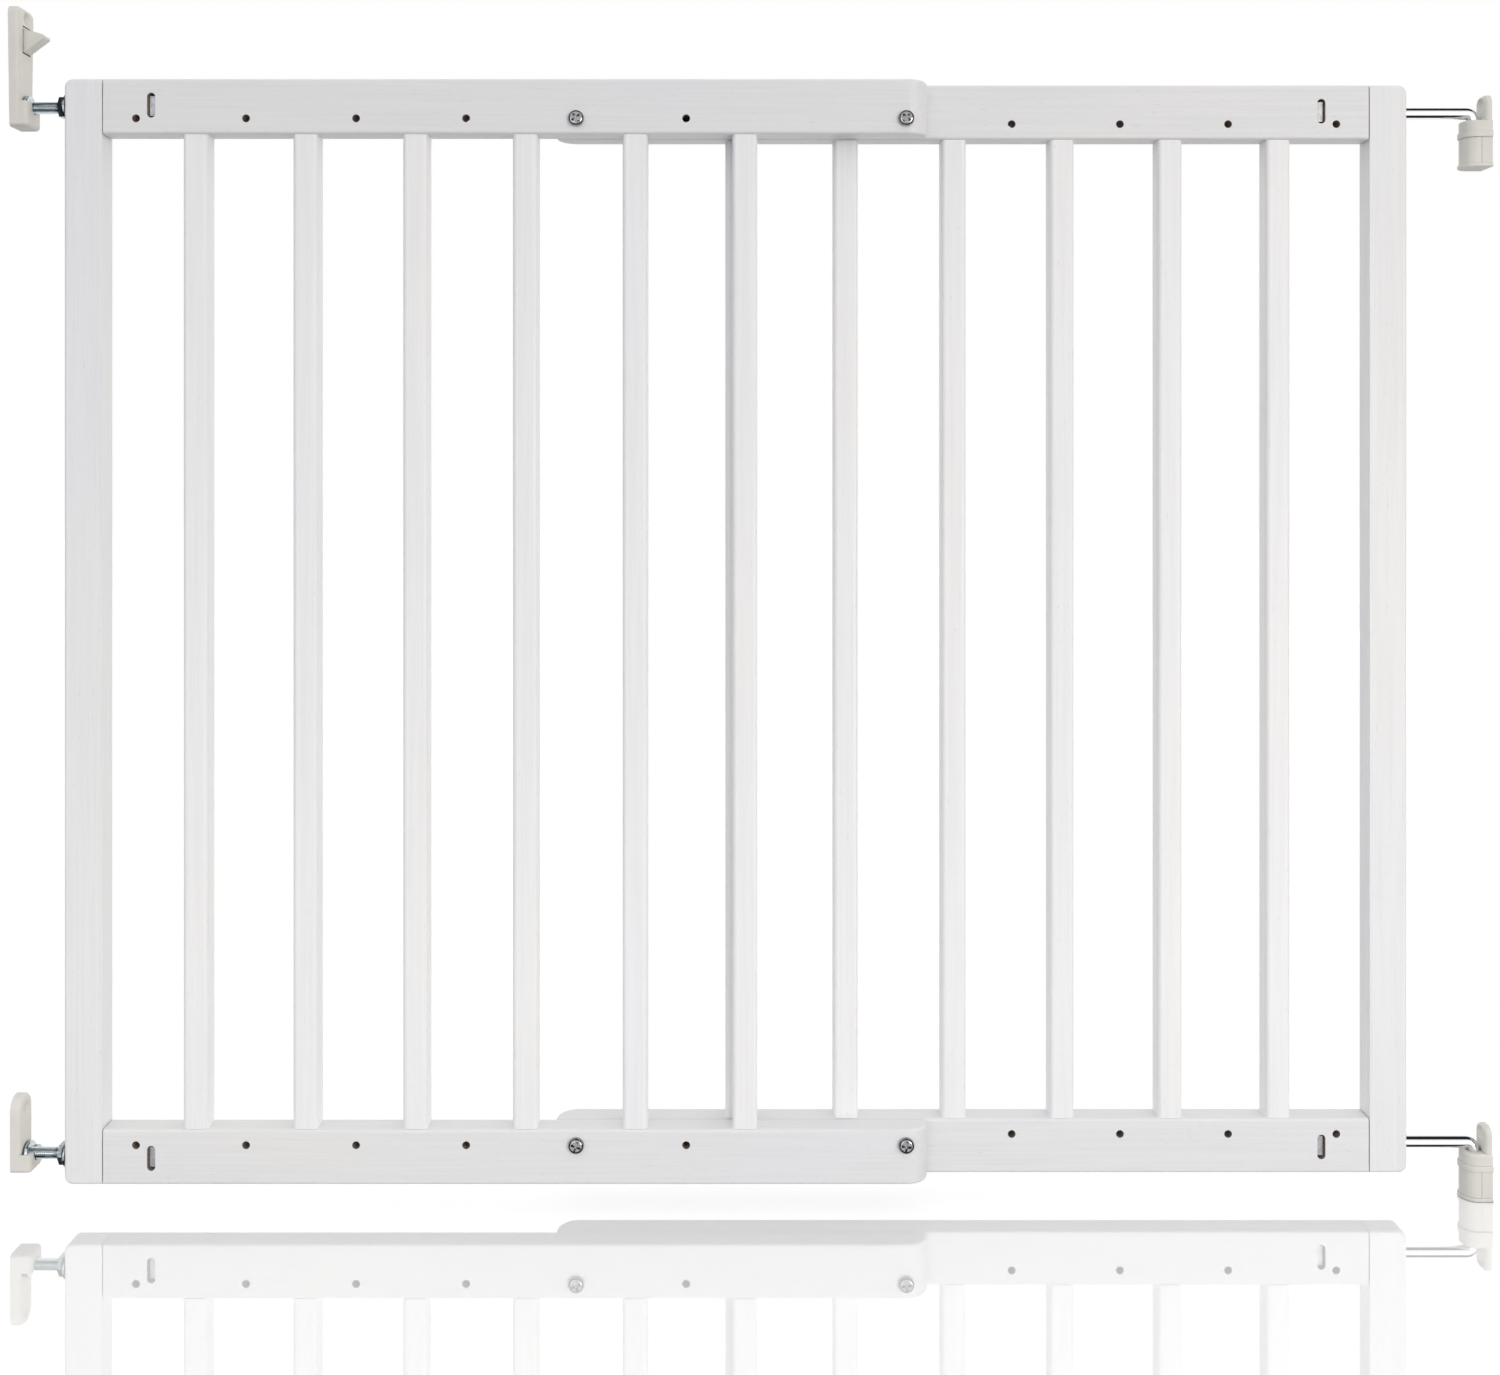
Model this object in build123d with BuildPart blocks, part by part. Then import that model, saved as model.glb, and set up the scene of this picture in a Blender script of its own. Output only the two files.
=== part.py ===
from build123d import *
import os

# Wooden leaves
leaf_height = 729
board = 18
stile_width = 25
stile_corner = 5.5
rail_height = 36.5
rail_length = 545
rail_nose = 14
rail_heel = 3
edge_round = 2
joint_gap = 0.8
joint_gap_depth = 2.5
bar_side = 16.5
bar_round = 3
bar_count = 6
bar_shift = 2.4

# Hole row that sets the width of the gate, heights counted from the leaf's edge
first_hole = 22.5
nose_hole = 15
hole_level = 26.2
hole_d = 5.2
hole_numbers = (0, 1, 2, 3, 4, 5, 7)
clamp_numbers = (4, 7)
overlap_number = 11
hole_pitch = (rail_length - first_hole - nose_hole) / hole_numbers[-1]

# Hidden wood joints
tenon_d = 10
tenon_length = 12
dowel_d = 6
dowel_in_stile = 14
dowel_in_rail = 16
dowel_insets = (6.5, 27)
glue_gap = 0.1
end_gap = 0.6

# Rods, bolts and nuts
rod_d = 8
rod_inset = 17.5
rod_clear = 0.4
rod_bore_depth = 57
thread_clear = 0.05
nut_slot_x = 32.5
nut_slot_w = 5.4
nut_slot_h = 16.5
square_nut = 13
square_nut_t = 4.5
square_nut_chamfer = 1
lock_nut_af = 13
lock_nut_t = 5.4
lock_flange_d = 18.4
lock_rim_t = 1
lock_cone_t = 3
bolt_length = 95
bolt_head_d = 16
bolt_head_t = 3
bolt_head_round = 1
bolt_end_chamfer = 0.8
clamp_d = 5
clamp_head_d = 10.6
clamp_head_t = 3.2
clamp_rim_t = 1
cap_nut_af = 8
cap_nut_t = 5
cap_nut_bore = 7
cap_dome_inset = 0.2
cap_end_gap = 1

# Hinge hooks and their wall sockets, heights counted from the hook's rod
hook_reach = 48
hook_inner = 48
hook_bend = 5
hook_end_chamfer = 1
pin_bottom = -24
pin_clear = 0.05
pin_to_wall = 9.5
socket_r = 8.8
socket_band = 0.9
socket_band_round = 0.6
socket_rim = -5.4
socket_rim_round = 1.5
socket_floor = -25
collar_z = (-17, -13)
foot_z = (-37, -34.5)
tab_face = 4.9
tab_root = 4
tab_top = 12
tab_round = 5.5
tab_edge = 2.8
tab_half = 7.6
cover_t = 1.7
cover_back = 2.5
cover_gap = 0.1
cover_seam = 0.4
tab_screw_z = 6.5
cover_screw_z = -30
screw_pit_x = 2

# Latch plates, heights counted from the bolt
latch_to_stile = 35.5
plate_t = 7
plate_round = 2.6
plate_foot = 4
head_room = 0.3
head_gap = 0.4
cradle_round = 3.5
cradle_edge = 2.6
top_plate_h = 65.5
top_plate_w = 25
top_corner = 5
top_cradle_w = 20.4
top_floor = -14
top_lip = 3
top_cradle_t = 12.6
top_screw_drop = 6.5
low_plate_h = 39.5
low_plate_w = 18.6
low_corner = 9.2
low_floor = -10.2
low_lip = 2
low_cradle_t = 14
low_screw_drop = 9.5
low_boss_d = 10
low_boss_t = 1.3
low_boss_z = 16.5

# Wall screw holes
screw_hole_d = 4.5
screw_head_d = 8.6

# Thumb catch in a window of the upper latch plate, depths counted from the wall
window_w = 12
window_h = 18.4
window_drop = 12
catch_w = 11
catch_set_back = 0.2
catch_end_gap = 0.8
catch_back = (2.1, 3.4)
knuckle_r = 2.4
pivot_depth = 4.4
pivot_lift = 2.8
trunnion_d = 3
trunnion_clear = 0.05
trunnion_half = 8
trunnion_end_gap = 0.3
beak_w = 10
beak_root = 5
beak_reach = 13.6
beak_nose = 1.8
beak_nose_round = 1.2
beak_drop = 4.2
beak_top_gap = 1.8
beak_low_gap = 0.8
beak_low_step = 0.4

# Positions in the shared frame: the hinge wall is X = 0
pin_x = -pin_to_wall
back_x = pin_x - hook_reach - stile_width
front_x = back_x - 2 * first_hole - overlap_number * hole_pitch
low_rod_z = -(tab_screw_z + cover_screw_z) / 2
leaf_z = low_rod_z - rod_inset
top_rod_z = leaf_z + leaf_height - rod_inset
front_y = -board
latch_wall_x = front_x - stile_width - latch_to_stile
bar_x = [first_hole + (i + 0.5) * hole_pitch + bar_shift for i in range(bar_count)]
hole_x = [first_hole + i * hole_pitch for i in hole_numbers]
clamp_x = [front_x + first_hole + i * hole_pitch for i in clamp_numbers]
clamp_z = (leaf_z + hole_level, leaf_z + leaf_height - hole_level)
rod_levels = (rod_inset, leaf_height - rod_inset)
dowel_levels = [z for inset in dowel_insets for z in (inset, leaf_height - inset)]
window_top = top_plate_h - window_drop
window_low = window_top - window_h
catch_pivot = (pivot_depth, window_low + pivot_lift)

front_leaf = Location((front_x, front_y, leaf_z))
back_leaf = Location((back_x, 0, leaf_z), (0, 0, 180))

os.makedirs("parts", exist_ok=True)


def save(name, shape, place=Location()):
    with BuildPart() as piece:
        with Locations(place):
            add(shape)
    piece.part.label = name
    export_step(piece.part, f"parts/{name}.step")


def across(x, y=0, z=0):
    return Plane((x, y, z), x_dir=(0, 1, 0), z_dir=(1, 0, 0))


# Stile: outer corners rounded, bored for rods and dowels; x = 0 is its inner face
with BuildPart() as stile:
    with BuildSketch(Plane.XZ):
        Rectangle(stile_width, leaf_height, align=(Align.MAX, Align.MIN))
        fillet(vertices().group_by(Axis.X)[0], stile_corner)
    extrude(amount=board / 2, both=True)
    rims = faces().group_by(Axis.Y)[0].edges() + faces().group_by(Axis.Y)[-1].edges()
    fillet([e for e in rims if e.center().X < -1], edge_round)
    with BuildSketch(across(0)):
        with Locations([(0, z) for z in rod_levels]):
            Circle(rod_d / 2 + rod_clear)
    extrude(amount=-stile_width, mode=Mode.SUBTRACT)
    with BuildSketch(across(0)):
        with Locations([(0, z) for z in dowel_levels]):
            Circle(dowel_d / 2)
    extrude(amount=-dowel_in_stile - end_gap, mode=Mode.SUBTRACT)

# Bottom rail: free end rounded in plan, bored for screws, rod, dowels and bars, shadow gap at the stile
with BuildPart() as low_rail:
    with BuildSketch(Plane.XY):
        Rectangle(rail_length, board, align=(Align.MIN, Align.CENTER))
        free_end = vertices().group_by(Axis.X)[-1].sort_by(Axis.Y)
        fillet(free_end[0], rail_nose)
        fillet(vertices().group_by(Axis.Y)[-1].sort_by(Axis.X)[-1], rail_heel)
    extrude(amount=rail_height)
    rims = faces().group_by(Axis.Z)[0].edges() + faces().group_by(Axis.Z)[-1].edges()
    fillet([e for e in rims if e.center().X > 1], edge_round)
    with BuildSketch(Plane.XZ):
        with Locations([(x, hole_level) for x in hole_x]):
            Circle(hole_d / 2)
    extrude(amount=board, both=True, mode=Mode.SUBTRACT)
    with BuildSketch(Plane.XZ):
        with Locations((nut_slot_x, rod_inset)):
            SlotOverall(nut_slot_h, nut_slot_w, rotation=90)
    extrude(amount=board, both=True, mode=Mode.SUBTRACT)
    with BuildSketch(across(0)):
        with Locations((0, rod_inset)):
            Circle(rod_d / 2 + rod_clear)
    extrude(amount=rod_bore_depth, mode=Mode.SUBTRACT)
    with BuildSketch(across(0)):
        with Locations([(0, z) for z in dowel_insets]):
            Circle(dowel_d / 2)
    extrude(amount=dowel_in_rail + end_gap, mode=Mode.SUBTRACT)
    with BuildSketch(Plane.XY.offset(rail_height)):
        with Locations([(x, 0) for x in bar_x]):
            Circle(tenon_d / 2)
    extrude(amount=-tenon_length - end_gap, mode=Mode.SUBTRACT)
    with BuildSketch(across(0)):
        with Locations((0, rail_height / 2)):
            Rectangle(board, rail_height)
            Rectangle(board - 2 * joint_gap_depth, rail_height - 2 * joint_gap_depth, mode=Mode.SUBTRACT)
    extrude(amount=joint_gap, mode=Mode.SUBTRACT)

# Top rail: the bottom rail mirrored at mid height
with BuildPart() as top_rail:
    add(mirror(low_rail.part, about=Plane.XY.offset(leaf_height / 2), mode=Mode.PRIVATE))

# Bar: square, rounded edges, a round tenon at each end
with BuildPart() as bar:
    with BuildSketch(Plane.XY.offset(rail_height)):
        RectangleRounded(bar_side, bar_side, bar_round)
    extrude(amount=leaf_height - 2 * rail_height)
    with BuildSketch(Plane.XY.offset(rail_height - tenon_length)):
        Circle(tenon_d / 2 - glue_gap)
    extrude(amount=leaf_height - 2 * rail_height + 2 * tenon_length)

# Dowels that join the rails to the stile
with BuildPart() as dowels:
    with BuildSketch(across(-dowel_in_stile)):
        with Locations([(0, z) for z in dowel_levels]):
            Circle(dowel_d / 2 - glue_gap)
    extrude(amount=dowel_in_stile + dowel_in_rail)

# Square nuts, drawn against the stile side of their slots
with BuildPart() as square_nuts:
    with BuildSketch(across(nut_slot_x - nut_slot_w / 2)):
        with Locations([(0, z) for z in rod_levels]):
            Rectangle(square_nut, square_nut)
            Circle(rod_d / 2 + thread_clear, mode=Mode.SUBTRACT)
    extrude(amount=square_nut_t)
    chamfer(edges().group_by(Axis.X)[0].filter_by(GeomType.LINE), square_nut_chamfer)

for side, place in (("front", front_leaf), ("back", back_leaf)):
    save(f"{side}_stile", stile.part, place)
    save(f"{side}_top_rail", top_rail.part, place)
    save(f"{side}_bottom_rail", low_rail.part, place)
    save(f"{side}_dowels", dowels.part, place)
    save(f"{side}_square_nuts", square_nuts.part, place)
    for i, x in enumerate(bar_x):
        save(f"{side}_bar_{i + 1}", bar.part, place * Location((x, 0, 0)))

# Clamp screws through both leaves, and the cap nuts behind them
with BuildPart() as clamp_screws:
    with BuildSketch(Plane.XZ.offset(-front_y + board / 2)):
        with Locations([(x, z) for x in clamp_x for z in clamp_z]):
            Circle(clamp_head_d / 2)
    extrude(amount=clamp_head_t)
    fillet(faces().group_by(Axis.Y)[0].edges(), clamp_head_t - clamp_rim_t)
    with BuildSketch(Plane.XZ.offset(-front_y + board / 2)):
        with Locations([(x, z) for x in clamp_x for z in clamp_z]):
            Circle(clamp_d / 2)
    extrude(amount=-2 * board - cap_nut_bore + cap_end_gap)
save("clamp_screws", clamp_screws.part)

with BuildPart() as clamp_nuts:
    with BuildSketch(Plane.XZ.offset(-board / 2)):
        with Locations([(x, z) for x in clamp_x for z in clamp_z]):
            RegularPolygon(cap_nut_af / 2, 6, major_radius=False)
    extrude(amount=-cap_nut_t)
    with Locations([(x, board / 2 + cap_nut_t, z) for x in clamp_x for z in clamp_z]):
        Sphere(cap_nut_af / 2 - cap_dome_inset)
    with BuildSketch(Plane.XZ.offset(-board / 2)):
        with Locations([(x, z) for x in clamp_x for z in clamp_z]):
            Circle(clamp_d / 2 + thread_clear)
    extrude(amount=-cap_nut_bore, mode=Mode.SUBTRACT)
save("clamp_nuts", clamp_nuts.part)

# Latch bolt: disc head in the latch plate, plain shank through stile and nut
with BuildPart() as latch_bolt:
    with BuildSketch(across(latch_wall_x + plate_t + head_room)):
        Circle(bolt_head_d / 2)
    extrude(amount=bolt_head_t)
    fillet(edges().group_by(Axis.X)[0], bolt_head_round)
    with BuildSketch(across(latch_wall_x + plate_t + head_room + bolt_head_t)):
        Circle(rod_d / 2)
    extrude(amount=bolt_length)
    chamfer(edges().group_by(Axis.X)[-1], bolt_end_chamfer)

# Lock nut: hexagon on a cone flange, x = 0 is the face against the stile
with BuildPart() as lock_nut:
    with BuildSketch(across(0)):
        RegularPolygon(lock_nut_af / 2, 6, major_radius=False)
    extrude(amount=-lock_nut_t)
    with BuildSketch(Plane.XZ):
        with BuildLine():
            Polyline(
                (0, 0),
                (0, lock_flange_d / 2),
                (-lock_rim_t, lock_flange_d / 2),
                (-lock_cone_t, lock_nut_af / 2),
                (-lock_cone_t, 0),
                close=True,
            )
        make_face()
    revolve(axis=Axis.X)
    with BuildSketch(across(0)):
        Circle(rod_d / 2 + thread_clear)
    extrude(amount=-lock_nut_t, mode=Mode.SUBTRACT)

for level, z in (("top", top_rod_z), ("bottom", low_rod_z)):
    save(f"latch_bolt_{level}", latch_bolt.part, Location((0, front_y, z)))
    save(f"lock_nut_{level}", lock_nut.part, Location((front_x - stile_width, front_y, z)))

# Hinge hook: rod bent down into a pin
with BuildPart() as hinge_hook:
    with BuildLine(Plane.XZ):
        FilletPolyline(
            (-hook_reach - stile_width - hook_inner, 0),
            (0, 0),
            (0, pin_bottom),
            radius=hook_bend,
        )
    with BuildSketch(across(-hook_reach - stile_width - hook_inner)):
        Circle(rod_d / 2)
    sweep()
    chamfer(edges().group_by(Axis.Z)[0], hook_end_chamfer)


def socket_slab(r, low, high, top_round, low_round):
    with BuildPart() as slab:
        with BuildSketch(Plane.XY.offset(low)):
            Circle(r)
            Rectangle(pin_to_wall, 2 * r, align=(Align.MIN, Align.CENTER))
            with Locations((pin_to_wall, 0)):
                Rectangle(4 * r, 4 * r, align=(Align.MAX, Align.CENTER), mode=Mode.INTERSECT)
        extrude(amount=high - low)
        top_rim = edges().group_by(Axis.Z)[-1].sort_by(Axis.X)[:-1]
        low_rim = edges().group_by(Axis.Z)[0].sort_by(Axis.X)[:-1]
        fillet(top_rim, top_round)
        if low_round:
            fillet(low_rim, low_round)
    return slab.part


# Tab of the hinge socket, behind the hook
with BuildPart() as socket_tab:
    with BuildSketch(across(tab_face)):
        with Locations((0, socket_rim - tab_root)):
            Rectangle(2 * tab_half, tab_top - socket_rim + tab_root, align=(Align.CENTER, Align.MIN))
        fillet(vertices().group_by(Axis.Y)[-1], tab_round)
    extrude(amount=pin_to_wall - tab_face)
    fillet(faces().filter_by(Axis.X).sort_by(Axis.X)[0].edges().sort_by(Axis.Z)[1:], tab_edge)

# Hinge socket: U-shaped body on the wall with collar, foot and tab, pin bore, screw holes
with BuildPart() as hinge_socket:
    add(socket_slab(socket_r, foot_z[0], socket_rim, socket_rim_round, 0))
    for low, high in (collar_z, foot_z):
        add(socket_slab(socket_r + socket_band, low, high, socket_band_round, socket_band_round))
    add(socket_tab.part)
    with BuildSketch(Plane.XY.offset(foot_z[1])):
        with Locations((cover_back - cover_seam / 2, 0)):
            Rectangle(2 * socket_r, 4 * socket_r, align=(Align.MAX, Align.CENTER))
        Circle(socket_r - cover_t, mode=Mode.SUBTRACT)
    extrude(amount=collar_z[0] - foot_z[1], mode=Mode.SUBTRACT)
    with BuildSketch(Plane.XY.offset(socket_rim)):
        Circle(rod_d / 2 + pin_clear)
    extrude(amount=socket_floor - socket_rim, mode=Mode.SUBTRACT)
    with BuildSketch(across(-socket_r)):
        with Locations((0, cover_screw_z)):
            Circle(screw_head_d / 2)
    extrude(amount=socket_r + screw_pit_x, mode=Mode.SUBTRACT)
    with BuildSketch(across(-socket_r)):
        with Locations((0, cover_screw_z)):
            Circle(screw_hole_d / 2)
    extrude(amount=socket_r + pin_to_wall, mode=Mode.SUBTRACT)
    with Locations(Plane((tab_face, 0, tab_screw_z), x_dir=(0, 1, 0), z_dir=(-1, 0, 0))):
        CounterSinkHole(screw_hole_d / 2, screw_head_d / 2)

# Clip-on cover over the socket's lower screw
with BuildPart() as socket_cover:
    with BuildSketch(Plane.XY.offset(foot_z[1] + cover_gap)):
        Circle(socket_r)
        Rectangle(cover_back, 2 * socket_r, align=(Align.MIN, Align.CENTER))
        Circle(socket_r - cover_t + cover_gap, mode=Mode.SUBTRACT)
        with Locations((cover_back - cover_seam, 0)):
            Rectangle(4 * socket_r, 4 * socket_r, align=(Align.MIN, Align.CENTER), mode=Mode.SUBTRACT)
    extrude(amount=collar_z[0] - foot_z[1] - 2 * cover_gap)

for level, z in (("top", top_rod_z), ("bottom", low_rod_z)):
    save(f"hinge_hook_{level}", hinge_hook.part, Location((pin_x, 0, z)))
    save(f"hinge_socket_{level}", hinge_socket.part, Location((pin_x, 0, z)))
    save(f"socket_cover_{level}", socket_cover.part, Location((pin_x, 0, z)))


def cradle(width, floor, lip, cradle_t):
    with BuildPart() as block:
        with BuildSketch(Plane.XY.offset(floor)):
            Rectangle(cradle_t, width, align=(Align.MIN, Align.CENTER))
            fillet(vertices().group_by(Axis.X)[-1], cradle_round)
        extrude(amount=lip - floor)
        fillet(faces().group_by(Axis.Z)[0].edges().sort_by(Axis.X)[1:], cradle_edge)
    return block.part


def cradle_space(lip, cradle_t):
    pocket_t = bolt_head_t + 2 * head_room
    head_r = bolt_head_d / 2 + head_gap
    shank_r = rod_d / 2 + rod_clear
    with BuildPart() as space:
        for r, depth in ((head_r, pocket_t), (shank_r, cradle_t)):
            with BuildSketch(across(plate_t)):
                Circle(r)
                Rectangle(2 * r, lip + head_r, align=(Align.CENTER, Align.MIN))
            extrude(amount=depth)
    return space.part


# Upper latch plate: tapered wall plate, bolt cradle, window for the catch
with BuildPart() as latch_plate_top:
    with BuildSketch(across(0)):
        with BuildLine():
            Polyline(
                (-top_cradle_w / 2, top_floor + plate_foot),
                (top_cradle_w / 2, top_floor + plate_foot),
                (top_plate_w / 2, top_plate_h),
                (-top_plate_w / 2, top_plate_h),
                close=True,
            )
        make_face()
        fillet(vertices().group_by(Axis.Y)[-1], top_corner)
    extrude(amount=plate_t)
    fillet(faces().group_by(Axis.X)[-1].edges().sort_by(Axis.Z)[1:], plate_round)
    add(cradle(top_cradle_w, top_floor, top_lip, top_cradle_t))
    add(cradle_space(top_lip, top_cradle_t), mode=Mode.SUBTRACT)
    with BuildSketch(across(0)):
        with Locations((0, window_low)):
            Rectangle(window_w, window_h, align=(Align.CENTER, Align.MIN))
    extrude(amount=plate_t, mode=Mode.SUBTRACT)
    with BuildSketch(Plane.XZ):
        with Locations(catch_pivot):
            Circle(trunnion_d / 2 + trunnion_clear)
    extrude(amount=trunnion_half + trunnion_end_gap, both=True, mode=Mode.SUBTRACT)
    with Locations(across(plate_t, 0, top_plate_h - top_screw_drop), across(plate_t)):
        CounterSinkHole(screw_hole_d / 2, screw_head_d / 2)
save("latch_plate_top", latch_plate_top.part, Location((latch_wall_x, front_y, top_rod_z)))

# Thumb catch: lever on moulded trunnions, with a beak over the bolt
with BuildPart() as catch:
    catch_top = window_top - catch_end_gap
    with BuildSketch(Plane.XZ):
        with BuildLine():
            Polyline(
                (catch_back[0], catch_pivot[1]),
                (catch_back[1], catch_top),
                (plate_t - catch_set_back, catch_top),
                (plate_t - catch_set_back, catch_pivot[1]),
                close=True,
            )
        make_face()
        with Locations(catch_pivot):
            Circle(knuckle_r)
    extrude(amount=catch_w / 2, both=True)
    beak_top = window_top - beak_top_gap
    beak_low = window_low + beak_low_gap
    with BuildSketch(Plane.XZ):
        with BuildLine():
            Polyline(
                (beak_root, beak_top),
                (plate_t, beak_top),
                (plate_t + beak_reach, beak_top - beak_drop),
                (plate_t + beak_reach, beak_top - beak_drop - beak_nose),
                (plate_t + beak_low_step, beak_low),
                (beak_root, beak_low),
                close=True,
            )
        make_face()
    extrude(amount=beak_w / 2, both=True)
    fillet(edges().filter_by(Axis.Y).group_by(Axis.X)[-1], beak_nose_round)
    with BuildSketch(Plane.XZ):
        with Locations(catch_pivot):
            Circle(trunnion_d / 2)
    extrude(amount=trunnion_half, both=True)
save("catch", catch.part, Location((latch_wall_x, front_y, top_rod_z)))

# Lower latch plate: round-topped wall plate, bolt cradle, locating boss behind
with BuildPart() as latch_plate_bottom:
    with BuildSketch(across(0)):
        with Locations((0, low_floor + plate_foot)):
            Rectangle(low_plate_w, low_plate_h - low_floor - plate_foot, align=(Align.CENTER, Align.MIN))
        fillet(vertices().group_by(Axis.Y)[-1], low_corner)
    extrude(amount=plate_t)
    fillet(faces().group_by(Axis.X)[-1].edges().sort_by(Axis.Z)[1:], plate_round)
    add(cradle(low_plate_w, low_floor, low_lip, low_cradle_t))
    with BuildSketch(across(0)):
        with Locations((0, low_boss_z)):
            Circle(low_boss_d / 2)
    extrude(amount=-low_boss_t)
    add(cradle_space(low_lip, low_cradle_t), mode=Mode.SUBTRACT)
    with Locations(across(plate_t, 0, low_plate_h - low_screw_drop), across(plate_t)):
        CounterSinkHole(screw_hole_d / 2, screw_head_d / 2)
save("latch_plate_bottom", latch_plate_bottom.part, Location((latch_wall_x, front_y, low_rod_z)))
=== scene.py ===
import math

import bmesh
import bpy
from mathutils import Matrix, Vector


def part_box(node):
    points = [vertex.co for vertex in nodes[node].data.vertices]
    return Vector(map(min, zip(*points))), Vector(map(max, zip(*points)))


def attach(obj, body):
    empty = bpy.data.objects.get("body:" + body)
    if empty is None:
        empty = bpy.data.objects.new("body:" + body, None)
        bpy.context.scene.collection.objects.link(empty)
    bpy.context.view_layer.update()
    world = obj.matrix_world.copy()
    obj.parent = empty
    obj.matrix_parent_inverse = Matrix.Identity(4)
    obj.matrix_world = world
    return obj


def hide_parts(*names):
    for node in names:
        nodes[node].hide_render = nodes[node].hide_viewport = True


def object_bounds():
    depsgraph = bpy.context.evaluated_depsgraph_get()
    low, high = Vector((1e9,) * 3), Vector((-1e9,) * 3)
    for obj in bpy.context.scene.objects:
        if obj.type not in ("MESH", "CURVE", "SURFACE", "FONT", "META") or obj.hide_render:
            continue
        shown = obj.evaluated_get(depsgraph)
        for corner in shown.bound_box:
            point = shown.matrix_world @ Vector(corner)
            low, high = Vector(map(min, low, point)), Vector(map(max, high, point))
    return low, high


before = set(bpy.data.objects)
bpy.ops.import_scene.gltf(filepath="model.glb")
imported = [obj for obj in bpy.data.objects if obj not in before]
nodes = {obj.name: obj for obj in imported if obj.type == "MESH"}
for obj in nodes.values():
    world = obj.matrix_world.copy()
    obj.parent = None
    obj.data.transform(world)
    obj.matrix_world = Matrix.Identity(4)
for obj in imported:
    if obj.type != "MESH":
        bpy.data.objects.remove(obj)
cad_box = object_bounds()
scene = bpy.context.scene

# Camera at the photograph's angle, its frame taken as 1500 x 1375
IMAGE_W = 1500
IMAGE_H = 1375
CAMERA_PLACE = (-0.505, -1.093, 0.466)
FOCAL_PX = 1618
CENTRE_PX = (739.3, 469)
SENSOR = 36

# Sizes shared with the solids, in metres
BOARD = 0.018
HOLE_PITCH = 0.0725
FIRST_HOLE = 0.0225
HOLE_LEVEL = 0.0262
HOLE_R = 0.0026
SPARE_HOLES = (0, 1, 2, 3, 5)
SLOT_X = 0.0325
SLOT_W = 0.0054
SLOT_H = 0.0165
ROD_INSET = 0.0175
JOINT_GAP = 0.0008
JOINT_GAP_DEPTH = 0.0025
THREAD_R = 0.004
THREAD_PITCH = 0.00125
HEAD_R = 0.008
HEAD_T = 0.003
CLAMP_R = 0.0025
CLAMP_HEAD_R = 0.0053
CLAMP_HEAD_T = 0.0032
CLAMP_RIM_T = 0.001

# Thread of the latch bolts, and their disc head as (depth from its face, how far inside its rim)
THREAD_DEPTH = 0.0007
THREAD_RUNOUT = 0.9
THREAD_SIDES = 28
THREAD_STEPS = 4
HEAD_PROFILE = (
    (0, 0.0022),
    (0.0002, 0.0012),
    (0.0006, 0.0004),
    (0.0012, 0),
    (HEAD_T - 0.0004, 0),
    (HEAD_T - 0.0001, 0.0002),
    (HEAD_T, 0.0005),
)

# Clamp screws: flat crown, turn of each cross, and its recess as (depth below the crown, arm, half width)
CROWN_R = 0.0012
DOME_STEPS = 6
SCREW_SIDES = 36
CROSS_TURNS = (0.35, 0.95, 0.15, 0.7)
CROSS_RECESS = ((-0.0005, 0.0037, 0.0008), (0.0021, 0.0018, 0.00055))

# Linings: how far they stand off the wood, how far they end below its face, and the rim that turns in
LINING_SKIN = 0.00003
LINING_SHORT = 0.0001
LINING_RIM = 0.0004
LINING_SIDES = 24

# Edges sharper than this stay sharp when a piece is shaded smooth
SHARP = math.radians(34)

# Painted wood: noise scales, each as (across the board, along it)
DRIFT = (14, 3)
STREAKS = (520, 9)
PORES = (2400, 130)

# Painted shade in seams and inner corners: how far from a corner it reaches, and its colour
SEAM_SHADE_REACH = 0.0016
SEAM_SHADE_SAMPLES = 12
SEAM_SHADE = (0.3, 0.29, 0.27)

# Floor: its reach, where its mirror image starts to fade towards the front, its polish, grey and lift to white
FLOOR_Z = cad_box[0][2]
FLOOR_LEFT = -9
FLOOR_RIGHT = 8
FLOOR_FRONT = -0.95
FLOOR_BACK = 12
FADE_FROM = -0.4
FLOOR_POLISH = 0.55
FLOOR_GREY = 0.66
FLOOR_LIFT = 0.5

# World: brightness of the sky and below it, and where metal sees dark: tilts in degrees from the front,
# share of sideways, and how soft the edges of these dark cards are
SKY = 0.89
GROUND = 0.03
CARD_DARK = 0.02
CARD_BELOW = (-90, -40)
CARD_ABOVE = (58, 126)
CARD_SOFT = 4
CARD_ASIDE = 0.72
CARD_ASIDE_SOFT = 0.04
WHITE = (1, 1, 1, 1)

# Lamps
LAMP_W = 2.2
LAMP_H = 1.8
LAMP_AIM = Vector((-0.5, 0, 0.35))


def link(obj):
    scene.collection.objects.link(obj)
    return obj


def finish_piece(obj, material, body):
    obj.data.materials.clear()
    obj.data.materials.append(material)
    for polygon in obj.data.polygons:
        polygon.use_smooth = True
        polygon.material_index = 0
    obj.data.set_sharp_from_angle(angle=SHARP)
    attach(obj, body)


def piece_from(name, verts, faces, material, body):
    mesh = bpy.data.meshes.new(name)
    mesh.from_pydata(verts, [], faces)
    obj = link(bpy.data.objects.new(name, mesh))
    finish_piece(obj, material, body)
    return obj


# A closed mesh with its faces turned outwards
def solid(name, verts, faces):
    mesh = bpy.data.meshes.new(name)
    mesh.from_pydata(verts, [], faces)
    shell = bmesh.new()
    shell.from_mesh(mesh)
    bmesh.ops.recalc_face_normals(shell, faces=shell.faces)
    shell.to_mesh(mesh)
    shell.free()
    return link(bpy.data.objects.new(name, mesh))


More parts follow.
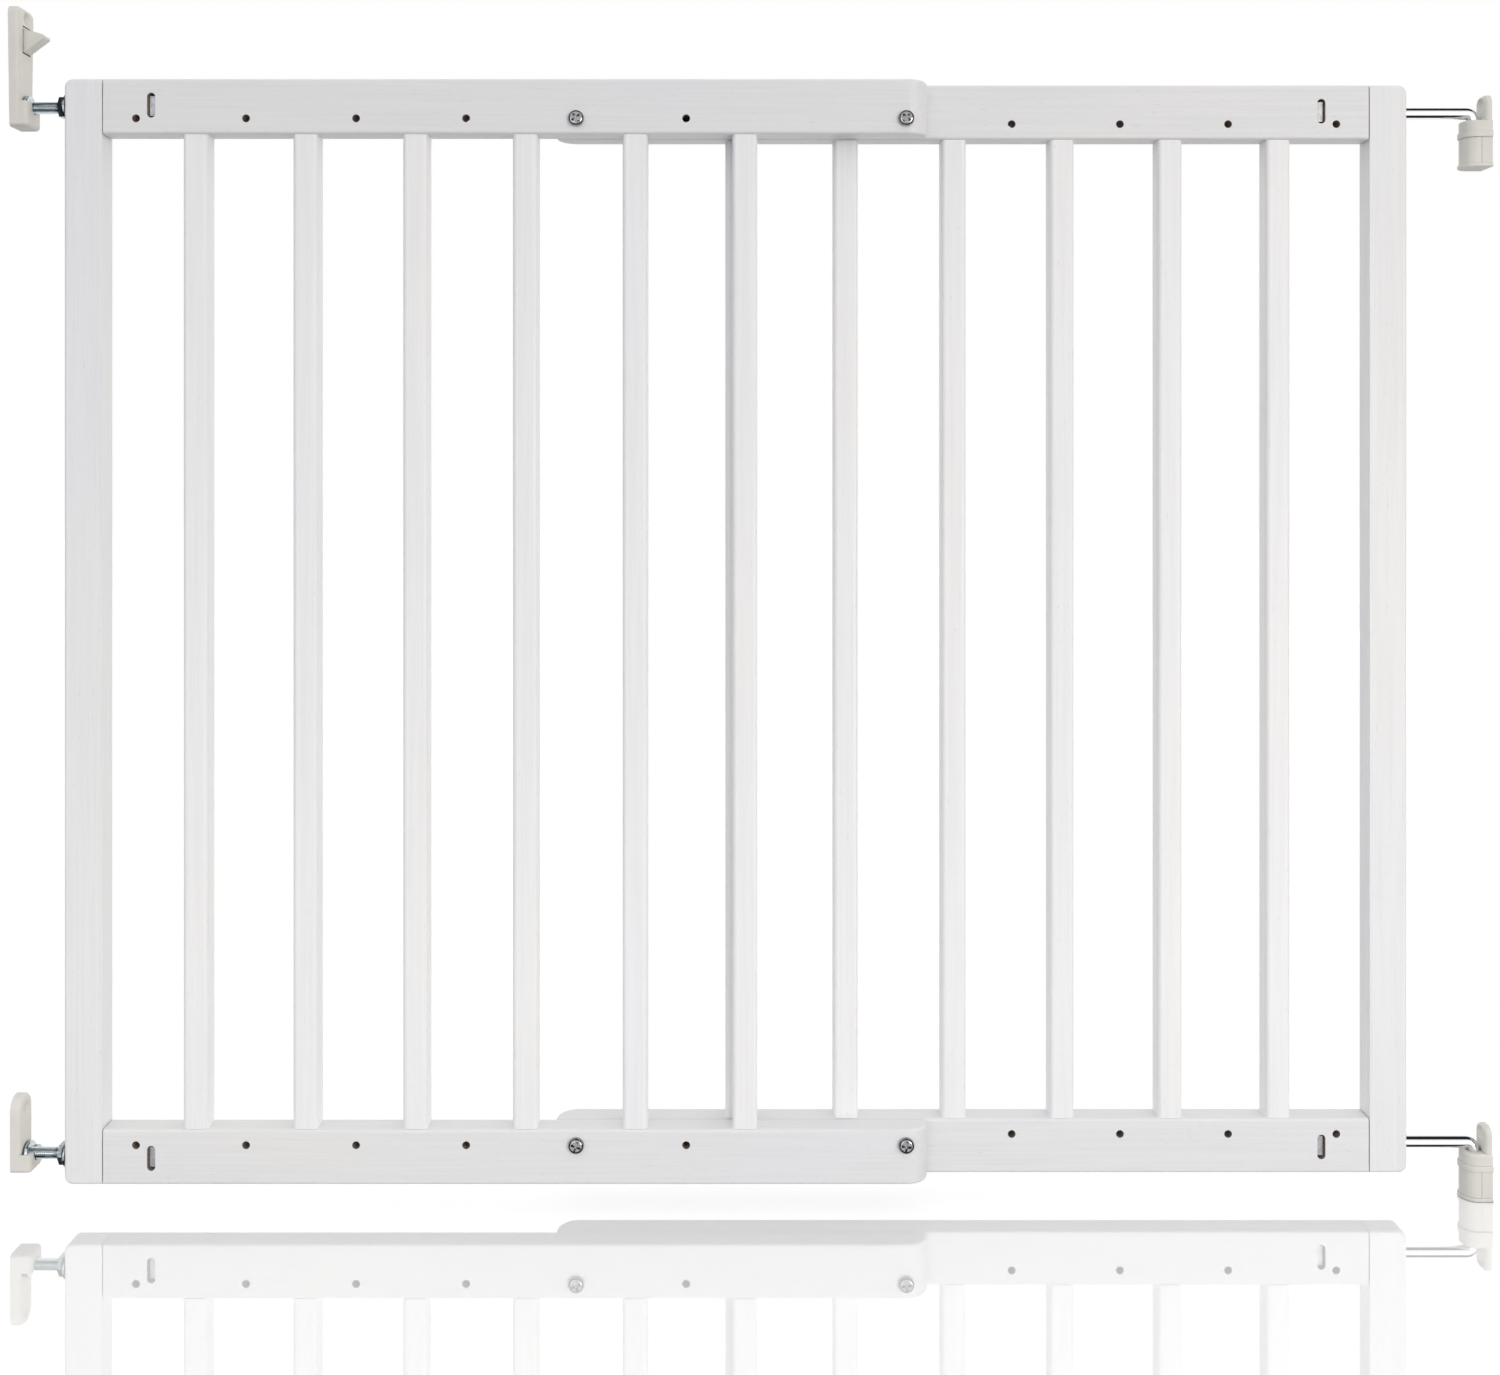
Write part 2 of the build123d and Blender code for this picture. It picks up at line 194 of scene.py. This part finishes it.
# Cuts one solid out of another and removes the cutter
def cut_away(obj, cutter):
    cut = obj.modifiers.new("cut", "BOOLEAN")
    cut.operation = "DIFFERENCE"
    cut.solver = "EXACT"
    cut.use_self = True
    cut.object = cutter
    depsgraph = bpy.context.evaluated_depsgraph_get()
    done = bpy.data.meshes.new_from_object(obj.evaluated_get(depsgraph))
    obj.modifiers.clear()
    obj.data = done
    bpy.data.objects.remove(cutter)


# Node helpers: each adds nodes to a tree and returns the socket that carries the result


def feed(tree, value, socket):
    if isinstance(value, bpy.types.NodeSocket):
        tree.links.new(value, socket)
    else:
        socket.default_value = value


def math_node(tree, operation, *values):
    node = tree.nodes.new("ShaderNodeMath")
    node.operation = operation
    for value, socket in zip(values, node.inputs):
        feed(tree, value, socket)
    return node.outputs["Value"]


def map_range(tree, value, low, high, kind="LINEAR"):
    node = tree.nodes.new("ShaderNodeMapRange")
    node.interpolation_type = kind
    node.inputs["From Min"].default_value = low
    node.inputs["From Max"].default_value = high
    tree.links.new(value, node.inputs["Value"])
    return node.outputs["Result"]


# The x, y and z of a kind of texture coordinates
def axes_of(tree, kind):
    place = tree.nodes.new("ShaderNodeTexCoord")
    split = tree.nodes.new("ShaderNodeSeparateXYZ")
    tree.links.new(place.outputs[kind], split.inputs["Vector"])
    return split.outputs


def mix_colours(tree, share, a, b, blend="MIX"):
    node = tree.nodes.new("ShaderNodeMix")
    node.data_type = "RGBA"
    node.blend_type = blend
    feed(tree, share, node.inputs[0])
    feed(tree, a, node.inputs[6])
    feed(tree, b, node.inputs[7])
    return node.outputs[2]


def times(tree, a, b):
    return mix_colours(tree, 1, a, b, "MULTIPLY")


def noise(tree, scale, detail=3.0, rough=0.55):
    place = tree.nodes.new("ShaderNodeTexCoord")
    stretch = tree.nodes.new("ShaderNodeMapping")
    stretch.inputs["Scale"].default_value = scale
    texture = tree.nodes.new("ShaderNodeTexNoise")
    texture.inputs["Scale"].default_value = 1
    texture.inputs["Detail"].default_value = detail
    texture.inputs["Roughness"].default_value = rough
    tree.links.new(place.outputs["Object"], stretch.inputs["Vector"])
    tree.links.new(stretch.outputs["Vector"], texture.inputs["Vector"])
    return texture.outputs["Fac"]


def ramp(tree, value, *stops):
    node = tree.nodes.new("ShaderNodeValToRGB")
    elements = node.color_ramp.elements
    while len(elements) < len(stops):
        elements.new(0.5)
    for element, (position, colour) in zip(elements, stops):
        element.position = position
        element.color = (*colour, 1) if isinstance(colour, tuple) else (colour, colour, colour, 1)
    tree.links.new(value, node.inputs["Fac"])
    return node.outputs["Color"]


def bump(tree, bsdf, height, strength, distance, under=None):
    node = tree.nodes.new("ShaderNodeBump")
    node.inputs["Strength"].default_value = strength
    node.inputs["Distance"].default_value = distance
    tree.links.new(height, node.inputs["Height"])
    if under:
        tree.links.new(under, node.inputs["Normal"])
    tree.links.new(node.outputs["Normal"], bsdf.inputs["Normal"])
    return node.outputs["Normal"]


# Materials: every one is made of nodes in object coordinates, which are metres in the shared frame


def new_material(name):
    material = bpy.data.materials.new(name)
    material.use_nodes = True
    tree = material.node_tree
    return material, tree, tree.nodes["Principled BSDF"]


# Painted shade: ambient occlusion darkens the colour in seams and inner corners, where shade falls
def painted_seam_shade(tree, bsdf):
    colour = bsdf.inputs["Base Color"].links[0].from_socket
    crevice = tree.nodes.new("ShaderNodeAmbientOcclusion")
    crevice.samples = SEAM_SHADE_SAMPLES
    crevice.inputs["Distance"].default_value = SEAM_SHADE_REACH
    painted_shade = ramp(tree, crevice.outputs["AO"], (0.3, SEAM_SHADE), (0.75, 1.0))
    tree.links.new(times(tree, colour, painted_shade), bsdf.inputs["Base Color"])


# Painted wood: white semi-gloss paint, soft brush drag and open pores along the board
def painted_wood(name, axis, cool, warm):
    def grain(scales, detail, rough=0.55):
        across, along = scales
        return noise(tree, tuple(along if i == axis else across for i in range(3)), detail, rough)

    material, tree, bsdf = new_material(name)
    drift = ramp(tree, grain(DRIFT, detail=2), (0.3, cool), (0.7, warm))
    streaks = grain(STREAKS, detail=4, rough=0.6)
    pores = grain(PORES, detail=2, rough=0.5)
    colour = times(tree, drift, ramp(tree, streaks, (0.3, 0.95), (0.62, 1.0)))
    pits = ramp(tree, pores, (0.24, 0.76), (0.31, 1.0))
    tree.links.new(times(tree, colour, pits), bsdf.inputs["Base Color"])
    tree.links.new(ramp(tree, streaks, (0.25, 0.5), (0.75, 0.36)), bsdf.inputs["Roughness"])
    drag = bump(tree, bsdf, streaks, strength=0.25, distance=0.0002)
    bump(tree, bsdf, pits, strength=0.35, distance=0.0002, under=drag)
    return material


# Bare wood inside the bores and joints, rough from the drill and the saw; the joints' copy is near black, as
# painted shade in the gaps
def bare_wood(name, dark, pale):
    material, tree, bsdf = new_material(name)
    cut = noise(tree, (900, 240, 900), detail=4, rough=0.6)
    tree.links.new(ramp(tree, cut, (0.25, dark), (0.75, pale)), bsdf.inputs["Base Color"])
    bsdf.inputs["Roughness"].default_value = 0.85
    bump(tree, bsdf, cut, strength=0.5, distance=0.0002)
    return material


# Moulded plastic: warm off-white, faint cloudiness, a fine spark-eroded skin and painted shade in its seams
def moulded_plastic(name, dull, pale):
    material, tree, bsdf = new_material(name)
    cloud = noise(tree, (60, 60, 40))
    skin = noise(tree, (2600, 2600, 2600), detail=2)
    tree.links.new(ramp(tree, cloud, (0.3, dull), (0.7, pale)), bsdf.inputs["Base Color"])
    tree.links.new(ramp(tree, skin, (0.3, 0.42), (0.7, 0.55)), bsdf.inputs["Roughness"])
    bump(tree, bsdf, skin, strength=0.12, distance=0.00006)
    # Painted shade: seams and inner corners darkened by ambient occlusion
    painted_seam_shade(tree, bsdf)
    return material


# Metal with faint wear: polished where it is bright, rougher where it is dull
def metal(name, dull, bright, rough, scale, depth):
    material, tree, bsdf = new_material(name)
    bsdf.inputs["Metallic"].default_value = 1
    wear = noise(tree, scale, detail=4, rough=0.6)
    polished, worn = rough
    tree.links.new(ramp(tree, wear, (0.3, dull), (0.7, bright)), bsdf.inputs["Base Color"])
    tree.links.new(ramp(tree, wear, (0.3, worn), (0.7, polished)), bsdf.inputs["Roughness"])
    bump(tree, bsdf, wear, strength=0.15, distance=depth)
    return material


# One white paint as lit and shaded copies: darker on the rails as painted shade, lighter on the stiles and
# lightest on the bars as painted light
RAIL_WOOD = painted_wood("painted_rail", 0, cool=(0.80, 0.80, 0.82), warm=(0.825, 0.82, 0.81))
STILE_WOOD = painted_wood("painted_stile", 2, cool=(0.845, 0.845, 0.865), warm=(0.87, 0.865, 0.855))
BAR_WOOD = painted_wood("painted_bar", 2, cool=(0.895, 0.895, 0.91), warm=(0.915, 0.91, 0.90))
BARE = bare_wood("bare_bore", dark=(0.17, 0.13, 0.105), pale=(0.38, 0.31, 0.25))
# Near-black bare end grain for the joint gaps: painted shade in the narrow gap between rail and stile
JOINT_SHADE = bare_wood("bare_joint_painted_shade", dark=(0.02, 0.017, 0.014), pale=(0.07, 0.055, 0.045))
PLASTIC = moulded_plastic("moulded_plastic", dull=(0.70, 0.68, 0.63), pale=(0.755, 0.735, 0.685))
ZINC = metal(
    "zinc_plate",
    dull=(0.44, 0.51, 0.55),
    bright=(0.70, 0.78, 0.82),
    rough=(0.10, 0.22),
    scale=(900, 900, 900),
    depth=0.00003,
)
NUT = metal(
    "zinc_nut",
    dull=(0.26, 0.28, 0.30),
    bright=(0.50, 0.53, 0.56),
    rough=(0.12, 0.26),
    scale=(700, 700, 700),
    depth=0.00004,
)
SQUARE = metal(
    "plain_nut",
    dull=(0.34, 0.34, 0.35),
    bright=(0.50, 0.50, 0.51),
    rough=(0.36, 0.52),
    scale=(400, 400, 400),
    depth=0.00001,
)
BRIGHT = metal(
    "bright_rod",
    dull=(0.84, 0.86, 0.88),
    bright=(0.93, 0.94, 0.95),
    rough=(0.02, 0.07),
    scale=(60, 900, 900),
    depth=0.000004,
)
# Screw heads: painted reflection, a dark base colour stands in for the dark surroundings that the nickel heads
# mirror
SCREW = metal(
    "darkened_nickel_screw",
    dull=(0.24, 0.24, 0.245),
    bright=(0.48, 0.48, 0.485),
    rough=(0.04, 0.12),
    scale=(1100, 1100, 1100),
    depth=0.00001,
)

# Which words in a node's name give its material; the first that fits counts, and the rest are zinc
LOOKS = (
    (("_rail",), RAIL_WOOD),
    (("_stile",), STILE_WOOD),
    (("_bar_",), BAR_WOOD),
    (("dowels",), BARE),
    (("hinge_socket", "socket_cover", "latch_plate", "catch"), PLASTIC),
    (("hinge_hook",), BRIGHT),
    (("lock_nut",), NUT),
    (("square_nuts",), SQUARE),
    (("",), ZINC),
)
for name, obj in nodes.items():
    material = next(look for words, look in LOOKS if any(word in name for word in words))
    for material_slot in obj.material_slots:
        material_slot.material = material


# Rings of points along an X axis, each as (x, radius): joined by quads and closed at both ends
def turned(profile, sides, verts, faces, place):
    start = len(verts)
    for x, r in profile:
        for k in range(sides):
            a = 2 * math.pi * k / sides
            verts.append(place @ Vector((x, r * math.cos(a), r * math.sin(a))))
    for i in range(len(profile) - 1):
        for k in range(sides):
            low = start + i * sides
            nxt = (k + 1) % sides
            faces.append((low + k, low + nxt, low + sides + nxt, low + sides + k))
    last = start + (len(profile) - 1) * sides
    faces.append(tuple(start + k for k in reversed(range(sides))))
    faces.append(tuple(last + k for k in range(sides)))


# Latch bolts: disc head, full-length thread
def latch_bolt(level):
    low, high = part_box(f"latch_bolt_{level}")
    y = (low.y + high.y) / 2
    z = (low.z + high.z) / 2
    sides = THREAD_SIDES
    verts = []
    faces = []
    head = [(x, HEAD_R - inside) for x, inside in HEAD_PROFILE]
    turned(head, sides, verts, faces, Matrix.Translation((low.x, y, z)))
    length = high.x - low.x - HEAD_T
    rings = int(length / THREAD_PITCH * THREAD_STEPS)
    start = len(verts)
    for i in range(rings + 1):
        along_x = length * i / rings
        fade = min(1, (length - along_x) / THREAD_PITCH)
        for k in range(sides):
            turn = k / sides
            phase = (along_x / THREAD_PITCH - turn) % 1
            groove = abs(2 * phase - 1)
            r = THREAD_R - THREAD_DEPTH * max(groove, THREAD_RUNOUT * (1 - fade))
            a = 2 * math.pi * turn
            verts.append((low.x + HEAD_T + along_x, y + r * math.cos(a), z + r * math.sin(a)))
    for i in range(rings):
        for k in range(sides):
            nxt = (k + 1) % sides
            ring = start + i * sides
            faces.append((ring + k, ring + nxt, ring + sides + nxt, ring + sides + k))
    last = start + rings * sides
    faces.append(tuple(last + k for k in range(sides)))
    obj = piece_from(f"threaded_bolt_{level}", verts, faces, ZINC, f"bolt_{level}")
    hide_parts(f"latch_bolt_{level}")


latch_bolt("top")
latch_bolt("bottom")


# Clamp screws: domed pan heads with a cross recess, each left at its own angle
def clamp_screws():
    low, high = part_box("clamp_screws")
    dome = CLAMP_HEAD_T - CLAMP_RIM_T
    profile = [(0.0, CROWN_R)]
    for i in range(DOME_STEPS + 1):
        a = math.pi / 2 * i / DOME_STEPS
        profile.append((dome * (1 - math.cos(a)), CLAMP_HEAD_R - dome + dome * math.sin(a)))
    profile += [(CLAMP_HEAD_T, CLAMP_HEAD_R), (CLAMP_HEAD_T, CLAMP_R), (high.y - low.y, CLAMP_R)]
    axis_to_y = Matrix.Rotation(math.pi / 2, 4, "Z")
    turns = iter(CROSS_TURNS)
    verts = []
    faces = []
    cutter_verts = []
    cutter_faces = []
    for x in (low.x + CLAMP_HEAD_R, high.x - CLAMP_HEAD_R):
        for z in (low.z + CLAMP_HEAD_R, high.z - CLAMP_HEAD_R):
            place = Matrix.Translation((x, low.y, z)) @ Matrix.Rotation(next(turns), 4, "Y")
            turned(profile, SCREW_SIDES, verts, faces, place @ axis_to_y)
            for quarter in (0, math.pi / 2):
                arm = place @ Matrix.Rotation(quarter, 4, "Y")
                s = len(cutter_verts)
                for y, reach, half in CROSS_RECESS:
                    for sx, sz in ((-1, -1), (1, -1), (1, 1), (-1, 1)):
                        cutter_verts.append(arm @ Vector((sx * reach, y, sz * half)))
                cutter_faces.append((s, s + 1, s + 2, s + 3))
                cutter_faces.append((s + 7, s + 6, s + 5, s + 4))
                for k in range(4):
                    nxt = (k + 1) % 4
                    cutter_faces.append((s + k, s + 4 + k, s + 4 + nxt, s + nxt))
    obj = solid("cross_recess_screws", verts, faces)
    cut_away(obj, solid("cross_cutter", cutter_verts, cutter_faces))
    finish_piece(obj, SCREW, "gate")
    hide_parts("clamp_screws")


clamp_screws()


# Outlines of a width hole and of a nut slot, as (x, z) about their middle


def hole_outline():
    angles = [2 * math.pi * k / LINING_SIDES for k in range(LINING_SIDES)]
    return [(HOLE_R * math.cos(a), HOLE_R * math.sin(a)) for a in angles]


def slot_outline():
    outline = []
    for k in range(LINING_SIDES):
        a = 2 * math.pi * (k + 0.5) / LINING_SIDES
        lift = math.copysign((SLOT_H - SLOT_W) / 2, math.sin(a))
        outline.append((SLOT_W / 2 * math.cos(a), SLOT_W / 2 * math.sin(a) + lift))
    return outline


# Linings: bare wood inside the spare width holes and the nut slots of each leaf, and near-black bare end grain
# in its joint gaps as painted shade


def bore_linings(side, origin_x, way, mid_y):
    low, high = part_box(f"{side}_stile")
    depth = BOARD / 2 - LINING_SHORT
    levels = (
        (-depth, LINING_SKIN),
        (LINING_RIM - depth, 2 * LINING_SKIN),
        (depth - LINING_RIM, 2 * LINING_SKIN),
        (depth, LINING_SKIN),
    )
    bores = []
    for number in SPARE_HOLES:
        x = origin_x + way * (FIRST_HOLE + number * HOLE_PITCH)
        bores += [(x, z, hole_outline()) for z in (low.z + HOLE_LEVEL, high.z - HOLE_LEVEL)]
    x = origin_x + way * SLOT_X
    bores += [(x, z, slot_outline()) for z in (low.z + ROD_INSET, high.z - ROD_INSET)]
    verts = []
    faces = []
    for x, z, outline in bores:
        start = len(verts)
        count = len(outline)
        for y, inset in levels:
            for px, pz in outline:
                shrink = 1 - inset / math.hypot(px, pz)
                verts.append((x + px * shrink, mid_y + y, z + pz * shrink))
        for j in range(len(levels) - 1):
            a = start + j * count
            for k in range(count):
                nxt = (k + 1) % count
                faces.append((a + k, a + count + k, a + count + nxt, a + nxt))
    piece_from(f"bore_linings_{side}", verts, faces, BARE, "gate")


# Near-black linings at the bottom of the joint gaps: painted shade
def joint_shade_linings(side, origin_x, way):
    inset = JOINT_GAP_DEPTH - LINING_SKIN
    verts = []
    faces = []
    for rail in ("top_rail", "bottom_rail"):
        low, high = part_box(f"{side}_{rail}")
        corners = [
            (low.y + inset, low.z + inset),
            (high.y - inset, low.z + inset),
            (high.y - inset, high.z - inset),
            (low.y + inset, high.z - inset),
        ]
        start = len(verts)
        for x in (origin_x + way * LINING_SKIN, origin_x + way * (JOINT_GAP - LINING_SKIN)):
            verts += [(x, y, z) for y, z in corners]
        for k in range(4):
            nxt = (k + 1) % 4
            faces.append((start + k, start + nxt, start + 4 + nxt, start + 4 + k))
    piece_from(f"joint_shade_linings_{side}", verts, faces, JOINT_SHADE, "gate")


front_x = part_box("front_stile")[1].x
back_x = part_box("back_stile")[0].x
bore_linings("front", front_x, 1, -BOARD)
joint_shade_linings("front", front_x, 1)
bore_linings("back", back_x, -1, 0)
joint_shade_linings("back", back_x, -1)

# Camera
camera_data = bpy.data.cameras.new("camera")
camera_data.sensor_width = SENSOR
camera_data.lens = FOCAL_PX / IMAGE_W * SENSOR
camera_data.shift_x = (IMAGE_W / 2 - CENTRE_PX[0]) / IMAGE_W
camera_data.shift_y = (CENTRE_PX[1] - IMAGE_H / 2) / IMAGE_W
camera = link(bpy.data.objects.new("camera", camera_data))
camera.location = CAMERA_PLACE
camera.rotation_euler = (math.pi / 2, 0, 0)
scene.camera = camera
scene.view_settings.view_transform = "Standard"


# Floor: pale and polished; in front of the gate its mirror image fades, and it ends in plain white
def floor_look():
    material, tree, bsdf = new_material("floor")
    tree.nodes.remove(bsdf)
    fade = map_range(tree, axes_of(tree, "Object")["Y"], FLOOR_FRONT, FADE_FROM, "SMOOTHSTEP")
    rays = tree.nodes.new("ShaderNodeLightPath")
    diffuse = tree.nodes.new("ShaderNodeBsdfDiffuse")
    diffuse.inputs["Color"].default_value = (FLOOR_GREY, FLOOR_GREY, FLOOR_GREY, 1)
    gloss = tree.nodes.new("ShaderNodeBsdfGlossy")
    gloss.inputs["Color"].default_value = WHITE
    gloss.inputs["Roughness"].default_value = 0
    glow = tree.nodes.new("ShaderNodeEmission")
    whiten = math_node(tree, "MULTIPLY_ADD", fade, FLOOR_LIFT - 1, 1)
    lift = math_node(tree, "MULTIPLY", rays.outputs["Is Camera Ray"], whiten)
    tree.links.new(lift, glow.inputs["Strength"])
    pale = tree.nodes.new("ShaderNodeAddShader")
    tree.links.new(diffuse.outputs["BSDF"], pale.inputs[0])
    tree.links.new(glow.outputs["Emission"], pale.inputs[1])
    polish = tree.nodes.new("ShaderNodeMixShader")
    tree.links.new(math_node(tree, "MULTIPLY", fade, FLOOR_POLISH), polish.inputs["Fac"])
    tree.links.new(pale.outputs["Shader"], polish.inputs[1])
    tree.links.new(gloss.outputs["BSDF"], polish.inputs[2])
    tree.links.new(polish.outputs["Shader"], tree.nodes["Material Output"].inputs["Surface"])
    return material


floor_mesh = bpy.data.meshes.new("floor")
floor_mesh.from_pydata(
    [
        (FLOOR_LEFT, FLOOR_FRONT, FLOOR_Z),
        (FLOOR_RIGHT, FLOOR_FRONT, FLOOR_Z),
        (FLOOR_RIGHT, FLOOR_BACK, FLOOR_Z),
        (FLOOR_LEFT, FLOOR_BACK, FLOOR_Z),
    ],
    [],
    [(0, 1, 2, 3)],
)
floor_mesh.materials.append(floor_look())
floor = link(bpy.data.objects.new("floor", floor_mesh))
floor.visible_glossy = False


# World: white to the camera and to the floor; metal sees white with dark ceiling, side walls and front floor
def studio():
    world = bpy.data.worlds.new("studio")
    world.use_nodes = True
    tree = world.node_tree
    background = tree.nodes["Background"]
    background.inputs["Strength"].default_value = 1
    rays = tree.nodes.new("ShaderNodeLightPath")
    axes = axes_of(tree, "Generated")
    tilt = math_node(tree, "ARCTAN2", axes["Z"], math_node(tree, "MULTIPLY", axes["Y"], -1))
    level = map_range(tree, tilt, -math.pi, math.pi)

    def by_tilt(*stops):
        return ramp(tree, level, *[(0.5 + degrees / 360, value) for degrees, value in stops])

    soft_light = by_tilt((-180, SKY), (-178, GROUND), (-2, GROUND), (0, SKY), (180, SKY))
    stops = [(-180, 1)]
    for start, end in (CARD_BELOW, CARD_ABOVE):
        stops += [(start - CARD_SOFT, 1), (start, CARD_DARK), (end, CARD_DARK), (end + CARD_SOFT, 1)]
    sideways = math_node(tree, "ABSOLUTE", axes["X"])
    side_walls = ramp(tree, sideways, (CARD_ASIDE - CARD_ASIDE_SOFT, 1), (CARD_ASIDE, CARD_DARK))
    dark_cards = times(tree, by_tilt(*stops), side_walls)
    seen = mix_colours(tree, rays.outputs["Is Glossy Ray"], soft_light, dark_cards)
    seen = mix_colours(tree, rays.outputs["Is Singular Ray"], seen, WHITE)
    seen = mix_colours(tree, rays.outputs["Is Camera Ray"], seen, WHITE)
    tree.links.new(seen, background.inputs["Color"])
    return world


scene.world = studio()


# Soft lamps: a warm one right of the camera, a weaker cool one on its left, one behind the gate
def soft_lamp(name, place, energy, colour):
    data = bpy.data.lights.new(name, "AREA")
    data.shape = "RECTANGLE"
    data.size = LAMP_W
    data.size_y = LAMP_H
    data.energy = energy
    data.color = colour
    lamp = link(bpy.data.objects.new(name, data))
    lamp.location = place
    aim = LAMP_AIM - lamp.location
    lamp.rotation_euler = aim.to_track_quat("-Z", "Y").to_euler()
    return lamp


soft_lamp("key_lamp", place=(2.0, -3.4, 0.49), energy=55, colour=(1.0, 0.955, 0.9))
soft_lamp("fill_lamp", place=(-2.1, -3.4, 0.49), energy=12, colour=(0.79, 0.83, 1.0))
rear_lamp = soft_lamp("rear_lamp", place=(1.9, 3.4, 0.65), energy=18.4, colour=(1.0, 0.98, 0.96))
rear_lamp.visible_camera = False
rear_lamp.visible_glossy = False
